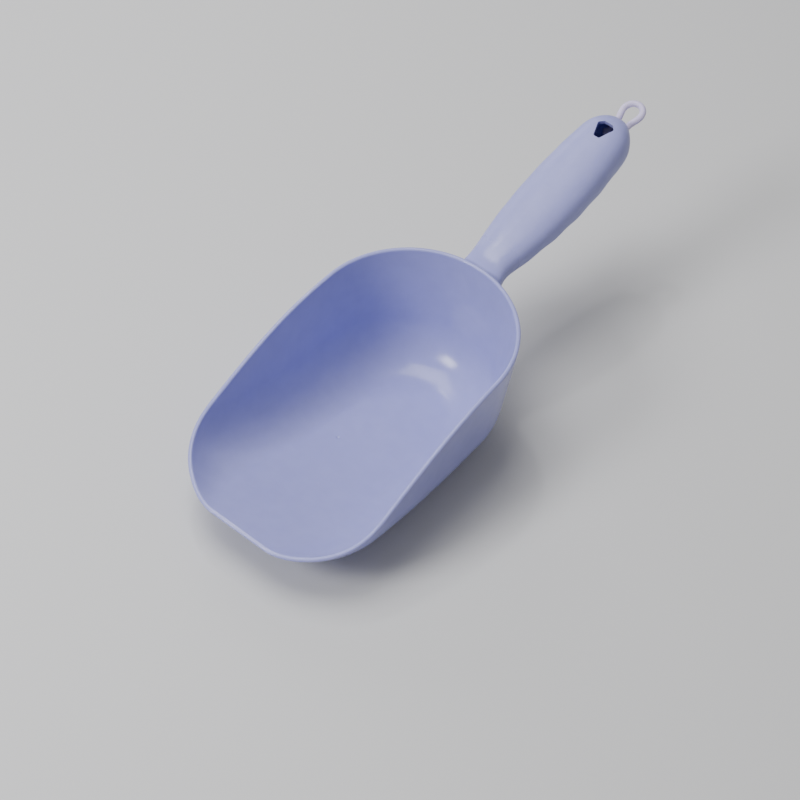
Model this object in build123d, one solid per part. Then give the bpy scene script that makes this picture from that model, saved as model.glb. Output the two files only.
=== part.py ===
from build123d import *
import math
import os

# Feed scoop, all lengths in mm.
# X runs along the scoop: the pouring lip is at -X and the handle at +X.
# Z is up, the flat underside of the bowl lies on Z = 0, and Y = 0 is the plane of symmetry.
# "Station" is the distance along the handle from the start of its top line.

# Bowl
WALL = 2.4                  # moulded wall thickness of the bowl
BACK_CENTRE_X = -4.0        # centre of the round back of the bowl
BACK_RADIUS = 50.9          # outer radius of the back at the level of the underside
SIDE_SPREAD = 2.7           # degrees each side opens out towards the lip
DRAFT = 5.3                 # wall draft in degrees
BOTTOM_RADIUS = 29.4        # outer radius between the underside and the walls
FLOOR_BEND_X = -19.5        # where the flat underside starts to rise towards the lip
FLOOR_BEND_RADIUS = 297.0   # radius of that rise
LIP_CENTRE_X = -94.0        # centre of the arcs in which the sides turn in towards the lip
LIP_TURN_RADIUS = 57.0      # outer radius of those arcs at the level of the underside
LIP_TURN = 30.0             # degrees from the scoop's length at which the sides run out
UNTRIMMED_FRONT_X = -146.0  # the tub runs on this far before the rim is cut
UNTRIMMED_TOP_Z = 84.0
UNTRIMMED_BOTTOM_Z = -5.0
CUT_MARGIN = 10.0           # how far cutters reach beyond what they cut
TOLERANCE = 0.01            # for telling faces and edges apart by their position
RIM_ROUNDING = 1.0          # radius on both edges of the rim

# Height of the rim along the bowl, as (x, z): nearly level at the back, falling to the lip
RIM_LINE = [(-160.0, 22.6), (-136.0, 25.2), (-113.0, 33.3), (-88.0, 44.8), (-58.0, 58.3),
            (-23.0, 68.7), (7.0, 72.3), (54.0, 75.7), (70.0, 77.4)]

# Gate scar left by moulding, a shallow round dimple in the floor of the bowl
GATE_X = -38.8
GATE_Y = 14.7
GATE_BALL_RADIUS = 2.0
GATE_DEPTH = 0.4

# Handle
HANDLE_TILT = 16.0          # degrees above level
HANDLE_X = 53.0             # start of the handle's top line
HANDLE_Z = 75.8
HANDLE_LENGTH = 125.6       # from the start of the top line to the end
ROOT_STATION = -9.0         # where the root starts, before it is trimmed inside the bowl's wall
ROOT_STATIONS = (-5.0, -1.0, 3.0, 7.0)  # further sections through the root
GRIP_SPAN = 122.8           # length over which the grip formulas below run from t = 0 to 1
GRIP_HALF_WIDTH = (10.0, 27.6, -24.5)   # a + b t + c t^2
GRIP_DEPTH = (13.0, 30.2, -17.1)        # depth below the top line, same form
SECTION_FULLNESS = 0.70     # Bezier handle ratio of the grip's cross-section
FLARE_END = 12.0            # station where the handle has stopped spreading into the bowl
FLARE_SIDE = 5.0            # how far each side has spread after FLARE_SIDE_LENGTH
FLARE_SIDE_LENGTH = 14.0
FLARE_UNDER = 6.0           # the same for the underside
FLARE_UNDER_LENGTH = 18.0
TOP_DIP = 3.4               # drop of the top line where it meets the rim, over TOP_DIP_LENGTH
TOP_DIP_LENGTH = 11.0
END_DOME = 17.0             # length of the rounded end
END_STATIONS = (0, 18, 35, 50, 63, 74, 82, 87)  # angles of the sections round the dome, in degrees
SECTION_GAP = 0.5           # least distance from the last of these to the end of a hollow
DOME_APPROACH = 2.4         # least distance from the last plain section to the dome
SCALLOP_HEIGHT = 1.3        # depth of the finger scallops on the underside
SCALLOP_PITCH = 19.5
SCALLOP_COUNT = 4
SCALLOP_START = 25.0        # station of the first crest
HANDLE_WALL = 2.6
CORE_START = 14.0           # stations of the hollow in the handle
CORE_END = 120.2

# Window in the top of the handle, a rounded shield shape over the loop's barbs
WINDOW_NARROW_AT = 103.0    # stations of its three pairs of corners
WINDOW_WIDE_AT = 112.0
WINDOW_FAR_AT = 114.6
WINDOW_NARROW_HALF = 1.9    # their distances from the middle
WINDOW_WIDE_HALF = 5.3
WINDOW_FAR_HALF = 2.8
WINDOW_CORNER = 1.2
WINDOW_REACH = 7.8          # how far the cutter reaches above and below the top line

# Grip cover: lid that closes the hollow from below and rests on a step in the shell
COVER_START = 23.0
COVER_END = 106.0
COVER_HALF_WIDTH = 9.5
COVER_LEDGE = 1.8           # width of the step
COVER_SKIN = 1.3            # depth of the step below the outer surface
COVER_SEAM = 0.12           # gap between the cover and the step, all round
COVER_LEVEL = 12.0          # depth below the top line from which the opening is cut

# Hang loop
STRAND_RADIUS = 1.85
LEG_Y = 3.7                 # half the distance between the legs
LEG_DEPTH = 14.8            # below the handle's top line
LEG_CLEARANCE = 0.08        # radial clearance of a leg in its hole
STRAIGHT_END = 126.1        # station where the legs start to spread, just outside the handle
LOOP_WIDEST_AT = 135.4
LOOP_HALF_WIDTH = 5.6       # centre line of the loop at its widest
LOOP_END = 141.6            # centre line of the loop at its far end
LEG_EASE = 0.35             # Bezier handle of the spreading legs, over their length
CROWN_FULLNESS = 0.56       # Bezier handle ratio of the loop's round end
LOOP_TRAVEL = 3.0           # how far the loop can be pulled out before its barbs stop it
BARB_RADIUS = 2.75
BARB_TIP_RADIUS = 1.1
BARB_LENGTH = 3.0
BARB_OVERLAP = 0.5          # how far the strand runs into its barb
BARB_GAP = 0.1              # between a barb and the inside of the end wall
HOLE_START = 118.2          # station inside the hollow from which a leg's hole is cut
HOLE_LENGTH = 12.0


def tub_outline(z, inset):
    """Closed outline of the tub at height z, offset inwards: round at the back, turned in at the front."""
    spread = math.radians(SIDE_SPREAD)
    turn = math.radians(LIP_TURN)
    growth = z * math.tan(math.radians(DRAFT)) - inset
    back_radius = BACK_RADIUS + growth
    lip_radius = LIP_TURN_RADIUS + growth
    offset = BACK_RADIUS - LIP_TURN_RADIUS
    side_length = (BACK_CENTRE_X - LIP_CENTRE_X + offset * math.sin(spread)) / math.cos(spread)
    lip_centre_y = side_length * math.sin(spread) + offset * math.cos(spread)
    middle = (turn - spread) / 2
    back = (BACK_CENTRE_X + back_radius, 0, z)
    side = (BACK_CENTRE_X + back_radius * math.sin(spread), back_radius * math.cos(spread), z)
    bend = (LIP_CENTRE_X + lip_radius * math.sin(spread), lip_centre_y + lip_radius * math.cos(spread), z)
    mid_bend = (LIP_CENTRE_X - lip_radius * math.sin(middle), lip_centre_y + lip_radius * math.cos(middle), z)
    turned = (LIP_CENTRE_X - lip_radius * math.sin(turn), lip_centre_y + lip_radius * math.cos(turn), z)
    front = (UNTRIMMED_FRONT_X, turned[1] - (turned[0] - UNTRIMMED_FRONT_X) * math.tan(turn), z)
    half = [Line(side, bend), ThreePointArc(bend, mid_bend, turned), Line(turned, front)]
    ends = [
        ThreePointArc((side[0], -side[1], z), back, side),
        Line(front, (front[0], -front[1], z)),
    ]
    return make_face(half + ends + [mirror(edge, Plane.XZ) for edge in half])


def below_floor(inset):
    """Everything below the floor, which is flat at the back and rises in an arc to the lip."""
    radius = FLOOR_BEND_RADIUS - inset
    back_x = 2 * BACK_RADIUS
    front_x = UNTRIMMED_FRONT_X - CUT_MARGIN
    half = 2 * BACK_RADIUS
    sweep_angle = math.asin((FLOOR_BEND_X - front_x) / radius)
    middle = sweep_angle / 2
    centre_z = inset + radius
    start = (FLOOR_BEND_X, -half, inset)
    through = (FLOOR_BEND_X - radius * math.sin(middle), -half, centre_z - radius * math.cos(middle))
    end = (front_x, -half, centre_z - radius * math.cos(sweep_angle))
    depth_z = -BACK_RADIUS
    edges = [
        Line((back_x, -half, inset), start),
        ThreePointArc(start, through, end),
        Line(end, (front_x, -half, depth_z)),
        Line((front_x, -half, depth_z), (back_x, -half, depth_z)),
        Line((back_x, -half, depth_z), (back_x, -half, inset)),
    ]
    return extrude(make_face(edges), amount=2 * half, dir=(0, 1, 0))


def tub(inset, top_z):
    """Solid tub with drafted walls and a well rounded bottom, every face moved inwards by inset."""
    walls = loft([tub_outline(UNTRIMMED_BOTTOM_Z, inset), tub_outline(top_z, inset)], ruled=True)
    solid = walls - below_floor(inset)
    floor = []
    for face in solid.faces():
        if face.geom_type == GeomType.CYLINDER or abs(face.bounding_box().max.Z - inset) < TOLERANCE:
            floor.append(face)
    floor_edges = [edge for face in floor for edge in face.edges()]
    corner = []
    for face in solid.faces():
        if face not in floor:
            for edge in face.edges():
                if edge in floor_edges and edge.center().X > UNTRIMMED_FRONT_X + TOLERANCE:
                    corner.append(edge)
    return fillet(corner, BOTTOM_RADIUS - inset)


def above_rim():
    """Everything above the rim, whose line is a curve seen from the side."""
    first_x, first_z = RIM_LINE[0]
    last_x, last_z = RIM_LINE[-1]
    top_z = 2 * UNTRIMMED_TOP_Z
    half = 2 * BACK_RADIUS
    edges = [
        Spline([(x, -half, z) for x, z in RIM_LINE]),
        Line((last_x, -half, last_z), (last_x, -half, top_z)),
        Line((last_x, -half, top_z), (first_x, -half, top_z)),
        Line((first_x, -half, top_z), (first_x, -half, first_z)),
    ]
    return extrude(make_face(edges), amount=2 * half, dir=(0, 1, 0))


def bowl_shell():
    """Thin-walled bowl with its sloping rim rounded on both edges."""
    shell = tub(0, UNTRIMMED_TOP_Z) - tub(WALL, UNTRIMMED_TOP_Z + CUT_MARGIN) - above_rim()
    rim = [face for face in shell.faces() if len(face.inner_wires()) == 1][0]
    return fillet(rim.edges(), RIM_ROUNDING)


def gate_cutter():
    """Ball that leaves the gate scar where it meets the rising floor."""
    inner_radius = FLOOR_BEND_RADIUS - WALL
    from_bend = FLOOR_BEND_X - GATE_X
    floor_z = FLOOR_BEND_RADIUS - math.sqrt(inner_radius * inner_radius - from_bend * from_bend)
    return Pos(GATE_X, GATE_Y, floor_z + GATE_BALL_RADIUS - GATE_DEPTH) * Sphere(GATE_BALL_RADIUS)


def handle_plane(station):
    """Plane across the handle: local X is the scoop's Y and local Y points up out of the grip."""
    tilt = math.radians(HANDLE_TILT)
    direction = (math.cos(tilt), 0, math.sin(tilt))
    origin = (HANDLE_X + station * direction[0], 0, HANDLE_Z + station * direction[2])
    return Plane(origin=origin, x_dir=(0, 1, 0), z_dir=direction)


def top_plane(depth):
    """Plane parallel to the handle's top line and below it: local X is the station."""
    across = handle_plane(0)
    return Plane(origin=across.origin - depth * across.y_dir, x_dir=across.z_dir, z_dir=across.y_dir)


def section(station, inset):
    """Rounded cross-section of the handle, every side moved inwards by inset."""
    t = max(station, 0.0) / GRIP_SPAN
    width = GRIP_HALF_WIDTH[0] + GRIP_HALF_WIDTH[1] * t + GRIP_HALF_WIDTH[2] * t * t
    bottom = -(GRIP_DEPTH[0] + GRIP_DEPTH[1] * t + GRIP_DEPTH[2] * t * t)
    top = 0.0
    if station < FLARE_END:
        into_flare = FLARE_END - station
        width = width + FLARE_SIDE * (into_flare / FLARE_SIDE_LENGTH) ** 2
        bottom = bottom - FLARE_UNDER * (into_flare / FLARE_UNDER_LENGTH) ** 2
        top = -TOP_DIP * min(into_flare / TOP_DIP_LENGTH, 1.0) ** 2
    turns = (station - SCALLOP_START) / SCALLOP_PITCH
    if 0 < turns < SCALLOP_COUNT:
        bottom = bottom + SCALLOP_HEIGHT / 2 * (1 - math.cos(2 * math.pi * turns))
    scale = 1.0
    into_dome = (station - HANDLE_LENGTH + END_DOME) / END_DOME
    if into_dome > 0:
        scale = math.sqrt(1 - into_dome * into_dome)
    middle = (top + bottom) / 2
    half_depth = (top - bottom) / 2 * scale - inset
    half_width = width * scale - inset
    k = SECTION_FULLNESS
    corners = [(half_width, 0), (0, half_depth), (-half_width, 0), (0, -half_depth)]
    edges = []
    for index in range(4):
        ax, ay = corners[index]
        bx, by = corners[(index + 1) % 4]
        control_a = (ax + k * bx, ay + k * by + middle)
        control_b = (bx + k * ax, by + k * ay + middle)
        edges.append(Bezier((ax, ay + middle), control_a, control_b, (bx, by + middle)))
    return handle_plane(station) * make_face(edges)


def handle_solid(inset, start, end):
    """Lofted grip from one station to another."""
    dome_start = HANDLE_LENGTH - END_DOME
    stations = [start]
    if start < 0:
        stations = [start, *ROOT_STATIONS, FLARE_END]
    station = SCALLOP_START - SCALLOP_PITCH / 4
    while station < dome_start - DOME_APPROACH:
        stations.append(station)
        station = station + SCALLOP_PITCH / 4
    for angle in END_STATIONS:
        station = dome_start + END_DOME * math.sin(math.radians(angle))
        if station < end - SECTION_GAP:
            stations.append(station)
    if end < HANDLE_LENGTH:
        stations.append(end)
    return loft([section(station, inset) for station in stations])


def window_cutter():
    """Prism through the top of the handle only, with rounded corners."""
    face = make_face(Polyline(
        (WINDOW_NARROW_AT, -WINDOW_NARROW_HALF),
        (WINDOW_WIDE_AT, -WINDOW_WIDE_HALF),
        (WINDOW_FAR_AT, -WINDOW_FAR_HALF),
        (WINDOW_FAR_AT, WINDOW_FAR_HALF),
        (WINDOW_WIDE_AT, WINDOW_WIDE_HALF),
        (WINDOW_NARROW_AT, WINDOW_NARROW_HALF),
        close=True,
    ))
    face = fillet(face.vertices(), WINDOW_CORNER)
    return extrude(top_plane(WINDOW_REACH) * face, amount=2 * WINDOW_REACH)


def cover_prism(margin):
    """Prism with rounded ends through the underside of the handle, larger than the cover by margin."""
    length = COVER_END - COVER_START + 2 * margin
    width = 2 * (COVER_HALF_WIDTH + margin)
    slot = Pos((COVER_START + COVER_END) / 2, 0) * SlotOverall(length, width)
    return extrude(top_plane(COVER_LEVEL) * slot, amount=-2 * COVER_LEVEL)


def leg_cylinder(side, radius, start, length):
    """Cylinder along one leg of the loop, from a station towards the loop."""
    bar = Cylinder(radius, length, align=(Align.CENTER, Align.CENTER, Align.MIN))
    return handle_plane(start) * Pos(side * LEG_Y, -LEG_DEPTH, 0) * bar


def grip():
    """Solid handle before it is hollowed."""
    return handle_solid(0, ROOT_STATION, HANDLE_LENGTH)


def grip_core():
    """Hollow of the handle."""
    return handle_solid(HANDLE_WALL, CORE_START, CORE_END)


def scoop_body():
    """Bowl and handle shell, one moulding."""
    handle = grip() - tub(WALL / 2, UNTRIMMED_TOP_Z)
    handle = handle - (cover_prism(0) - handle_solid(COVER_SKIN, CORE_START, CORE_END))
    handle = handle - cover_prism(-COVER_LEDGE)
    handle = handle - grip_core()
    handle = handle - window_cutter()
    for side in (-1, 1):
        handle = handle - leg_cylinder(side, STRAND_RADIUS + LEG_CLEARANCE, HOLE_START, HOLE_LENGTH)
    return bowl_shell() + handle - gate_cutter()


def grip_cover():
    """Lid of the handle's hollow, with the finger scallops on its outside."""
    lid = (cover_prism(-COVER_SEAM) & grip()) - handle_solid(COVER_SKIN - COVER_SEAM, CORE_START, CORE_END)
    plug = (cover_prism(-COVER_LEDGE - COVER_SEAM) & grip()) - grip_core()
    return lid + plug


def hang_loop():
    """Round strand bent into a loop, with a barb on the end of each leg."""
    plane = top_plane(LEG_DEPTH)
    leg_start = CORE_END - LOOP_TRAVEL - BARB_GAP
    ease = LEG_EASE * (LOOP_WIDEST_AT - STRAIGHT_END)
    crown = CROWN_FULLNESS * (LOOP_END - LOOP_WIDEST_AT)
    path = []
    for side in (1, -1):
        leg = side * LEG_Y
        wide = side * LOOP_HALF_WIDTH
        spread_start = (STRAIGHT_END, leg)
        widest = (LOOP_WIDEST_AT, wide)
        end = (LOOP_END, 0)
        path.append(Line((leg_start - BARB_OVERLAP, leg), spread_start))
        path.append(Bezier(spread_start, (STRAIGHT_END + ease, leg), (LOOP_WIDEST_AT - ease, wide), widest))
        path.append(Bezier(widest, (LOOP_WIDEST_AT + crown, wide), (LOOP_END, CROWN_FULLNESS * wide), end))
    profile = handle_plane(leg_start - BARB_OVERLAP) * Pos(LEG_Y, -LEG_DEPTH) * Circle(STRAND_RADIUS)
    loop = sweep(profile, path=plane * Wire(path))
    for side in (-1, 1):
        barb = Cone(BARB_TIP_RADIUS, BARB_RADIUS, BARB_LENGTH, align=(Align.CENTER, Align.CENTER, Align.MAX))
        loop = loop + handle_plane(leg_start) * Pos(side * LEG_Y, -LEG_DEPTH, 0) * barb
    return loop


os.makedirs("parts", exist_ok=True)
export_step(scoop_body(), "parts/scoop_body.step")
export_step(grip_cover(), "parts/grip_cover.step")
export_step(hang_loop(), "parts/hang_loop.step")
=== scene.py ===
import bpy
import math
from mathutils import Matrix, Vector

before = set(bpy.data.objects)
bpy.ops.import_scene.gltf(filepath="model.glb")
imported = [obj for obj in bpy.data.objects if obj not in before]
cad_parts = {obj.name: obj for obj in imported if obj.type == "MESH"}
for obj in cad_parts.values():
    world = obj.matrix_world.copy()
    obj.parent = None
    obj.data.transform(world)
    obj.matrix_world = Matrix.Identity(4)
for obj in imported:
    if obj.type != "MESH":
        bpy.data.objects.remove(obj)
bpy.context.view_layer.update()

# Camera: looks down along the scoop from in front of the lip, a little to the near side
CAMERA_AZIMUTH = -55.07     # degrees
CAMERA_ELEVATION = 48.30
CAMERA_ROLL = 6.24
CAMERA_DISTANCE = 1.27484   # metres
CAMERA_TARGET = Vector((-0.01516, -0.00634, 0.030))
CAMERA_LENS = 108.45        # millimetres, on a sensor this wide
SENSOR_WIDTH = 36.0
CLIP_START = 0.05
CLIP_END = 20.0

# The handle's satin finish fades in between these two distances along the scoop
GRIP_SATIN_START = 0.062
GRIP_SATIN_FULL = 0.085

# Plastics: two nearly equal colours to mottle between, roughness range, extra on the handle, bump
BLUE_LIGHT = (0.325, 0.335, 0.665, 1)
BLUE_DARK = (0.310, 0.320, 0.645, 1)
BLUE_FINISH = (0.15, 0.22, 0.24, 0.05)
LILAC_LIGHT = (0.620, 0.560, 0.800, 1)
LILAC_DARK = (0.580, 0.520, 0.770, 1)
LILAC_FINISH = (0.35, 0.48, 0.0, 0.10)

# Noise over the plastic as (scale, detail, roughness)
MOTTLE_NOISE = (120.0, 4.0, 0.5)
GLOSS_NOISE = (90.0, 5.0, 0.6)
GRAIN_NOISE = (420.0, 3.0, 0.5)
MOTTLE_RANGE = (0.35, 0.65)
GLOSS_RANGE = (0.3, 0.7)
GRAIN_HEIGHT = 0.0002
PLASTIC_IOR = 1.49
SPECULAR_LEVEL = 0.38
SCATTER_WEIGHT = 0.2
SCATTER_RADIUS = (0.0025, 0.0025, 0.004)

# Studio
FLOOR_HALF_SIZE = 4.0
FLOOR_COLOUR = (0.60, 0.60, 0.61, 1)
FLOOR_ROUGHNESS = 0.7
SKY_COLOUR = (1.0, 1.0, 1.0, 1)
SKY_STRENGTH = 0.32
LIGHT_AIM = Vector((0.03, 0, 0.03))
# Softboxes as name, direction, distance, size, power
LIGHTS = (
    ("top", (-0.10, 0.27, 0.96), 1.4, 0.8, 14),
    ("front_left", (-0.78, 0.32, 0.60), 1.4, 0.4, 12),
    ("side", (0.50, 0.78, 0.45), 1.4, 0.6, 4),
    ("lamp", (0.22, 0.42, 0.88), 1.3, 0.08, 1.6),
)


def new_material(name):
    """Empty node material with its Principled shader."""
    material = bpy.data.materials.new(name)
    material.use_nodes = True
    return material, material.node_tree, material.node_tree.nodes["Principled BSDF"]


def noise(tree, settings):
    """Noise texture over the object's own coordinates."""
    scale, detail, roughness = settings
    coords = tree.nodes.new("ShaderNodeTexCoord")
    texture = tree.nodes.new("ShaderNodeTexNoise")
    texture.inputs["Scale"].default_value = scale
    texture.inputs["Detail"].default_value = detail
    texture.inputs["Roughness"].default_value = roughness
    tree.links.new(coords.outputs["Object"], texture.inputs["Vector"])
    return texture


def ramp(tree, source, span, low_colour, high_colour):
    """Colour ramp between two colours over a span of the source."""
    node = tree.nodes.new("ShaderNodeValToRGB")
    node.color_ramp.elements[0].position = span[0]
    node.color_ramp.elements[0].color = low_colour
    node.color_ramp.elements[1].position = span[1]
    node.color_ramp.elements[1].color = high_colour
    tree.links.new(source, node.inputs["Fac"])
    return node


def map_range(tree, source, span, low, high):
    """Straight mapping of a span of the source to a range of values."""
    node = tree.nodes.new("ShaderNodeMapRange")
    node.inputs["From Min"].default_value = span[0]
    node.inputs["From Max"].default_value = span[1]
    node.inputs["To Min"].default_value = low
    node.inputs["To Max"].default_value = high
    tree.links.new(source, node.inputs["Value"])
    return node


def gloss_plastic(name, light, dark, finish):
    """Moulded plastic: faint mottling and uneven gloss, with a rougher finish on the handle."""
    rough_low, rough_high, grip_extra, bump = finish
    material, tree, shader = new_material(name)

    mottle = noise(tree, MOTTLE_NOISE)
    colour = ramp(tree, mottle.outputs["Fac"], MOTTLE_RANGE, dark, light)
    tree.links.new(colour.outputs["Color"], shader.inputs["Base Color"])

    patches = noise(tree, GLOSS_NOISE)
    gloss = map_range(tree, patches.outputs["Fac"], GLOSS_RANGE, rough_low, rough_high)
    place = tree.nodes.new("ShaderNodeTexCoord")
    axes = tree.nodes.new("ShaderNodeSeparateXYZ")
    tree.links.new(place.outputs["Object"], axes.inputs["Vector"])
    satin = map_range(tree, axes.outputs["X"], (GRIP_SATIN_START, GRIP_SATIN_FULL), 0.0, grip_extra)
    total = tree.nodes.new("ShaderNodeMath")
    total.operation = "ADD"
    tree.links.new(gloss.outputs["Result"], total.inputs[0])
    tree.links.new(satin.outputs["Result"], total.inputs[1])
    tree.links.new(total.outputs["Value"], shader.inputs["Roughness"])

    grain = noise(tree, GRAIN_NOISE)
    relief = tree.nodes.new("ShaderNodeBump")
    relief.inputs["Strength"].default_value = bump
    relief.inputs["Distance"].default_value = GRAIN_HEIGHT
    tree.links.new(grain.outputs["Fac"], relief.inputs["Height"])
    tree.links.new(relief.outputs["Normal"], shader.inputs["Normal"])

    shader.inputs["IOR"].default_value = PLASTIC_IOR
    shader.inputs["Specular IOR Level"].default_value = SPECULAR_LEVEL
    shader.inputs["Subsurface Weight"].default_value = SCATTER_WEIGHT
    shader.inputs["Subsurface Scale"].default_value = 1.0
    shader.inputs["Subsurface Radius"].default_value = SCATTER_RADIUS
    return material


def cover_piece(node, material):
    """Give every material slot of a CAD piece the same material."""
    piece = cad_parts[node]
    if not piece.material_slots:
        piece.data.materials.append(material)
    for material_slot in piece.material_slots:
        material_slot.material = material


def add_floor():
    """Plain pale floor under the scoop."""
    half = FLOOR_HALF_SIZE
    mesh = bpy.data.meshes.new("floor")
    corners = [(-half, -half, 0), (half, -half, 0), (half, half, 0), (-half, half, 0)]
    mesh.from_pydata(corners, [], [(0, 1, 2, 3)])
    floor = bpy.data.objects.new("floor", mesh)
    bpy.context.scene.collection.objects.link(floor)
    material, tree, shader = new_material("floor")
    shader.inputs["Base Color"].default_value = FLOOR_COLOUR
    shader.inputs["Roughness"].default_value = FLOOR_ROUGHNESS
    mesh.materials.append(material)


def add_area_light(name, direction, distance, size, power):
    """Square softbox shining at the scoop from a direction."""
    light = bpy.data.lights.new(name, "AREA")
    light.shape = "SQUARE"
    light.size = size
    light.energy = power
    lamp = bpy.data.objects.new(name, light)
    away = Vector(direction).normalized()
    lamp.location = LIGHT_AIM + away * distance
    lamp.rotation_euler = away.to_track_quat("Z", "Y").to_euler()
    bpy.context.scene.collection.objects.link(lamp)


def add_world():
    """Even soft light from all round."""
    world = bpy.data.worlds.new("studio")
    bpy.context.scene.world = world
    world.use_nodes = True
    background = world.node_tree.nodes["Background"]
    background.inputs["Color"].default_value = SKY_COLOUR
    background.inputs["Strength"].default_value = SKY_STRENGTH


def add_camera():
    """Camera at the viewing angle above."""
    azimuth = math.radians(CAMERA_AZIMUTH)
    elevation = math.radians(CAMERA_ELEVATION)
    roll = math.radians(CAMERA_ROLL)
    level_out = math.cos(elevation)
    back = Vector((math.sin(azimuth) * level_out, -math.cos(azimuth) * level_out, math.sin(elevation)))
    level = Vector((math.cos(azimuth), math.sin(azimuth), 0))
    upright = back.cross(level)
    right = level * math.cos(roll) + upright * math.sin(roll)
    up = upright * math.cos(roll) - level * math.sin(roll)
    place = CAMERA_TARGET + back * CAMERA_DISTANCE
    camera = bpy.data.objects.new("camera", bpy.data.cameras.new("camera"))
    camera.data.lens = CAMERA_LENS
    camera.data.sensor_width = SENSOR_WIDTH
    camera.data.clip_start = CLIP_START
    camera.data.clip_end = CLIP_END
    camera.matrix_world = Matrix((
        (right.x, up.x, back.x, place.x),
        (right.y, up.y, back.y, place.y),
        (right.z, up.z, back.z, place.z),
        (0, 0, 0, 1),
    ))
    bpy.context.scene.collection.objects.link(camera)
    bpy.context.scene.camera = camera


blue = gloss_plastic("scoop_plastic", BLUE_LIGHT, BLUE_DARK, BLUE_FINISH)
lilac = gloss_plastic("loop_plastic", LILAC_LIGHT, LILAC_DARK, LILAC_FINISH)
cover_piece("scoop_body", blue)
cover_piece("grip_cover", blue)
cover_piece("hang_loop", lilac)

add_floor()
add_world()
for name, direction, distance, size, power in LIGHTS:
    add_area_light(name, direction, distance, size, power)
add_camera()

bpy.context.view_layer.update()
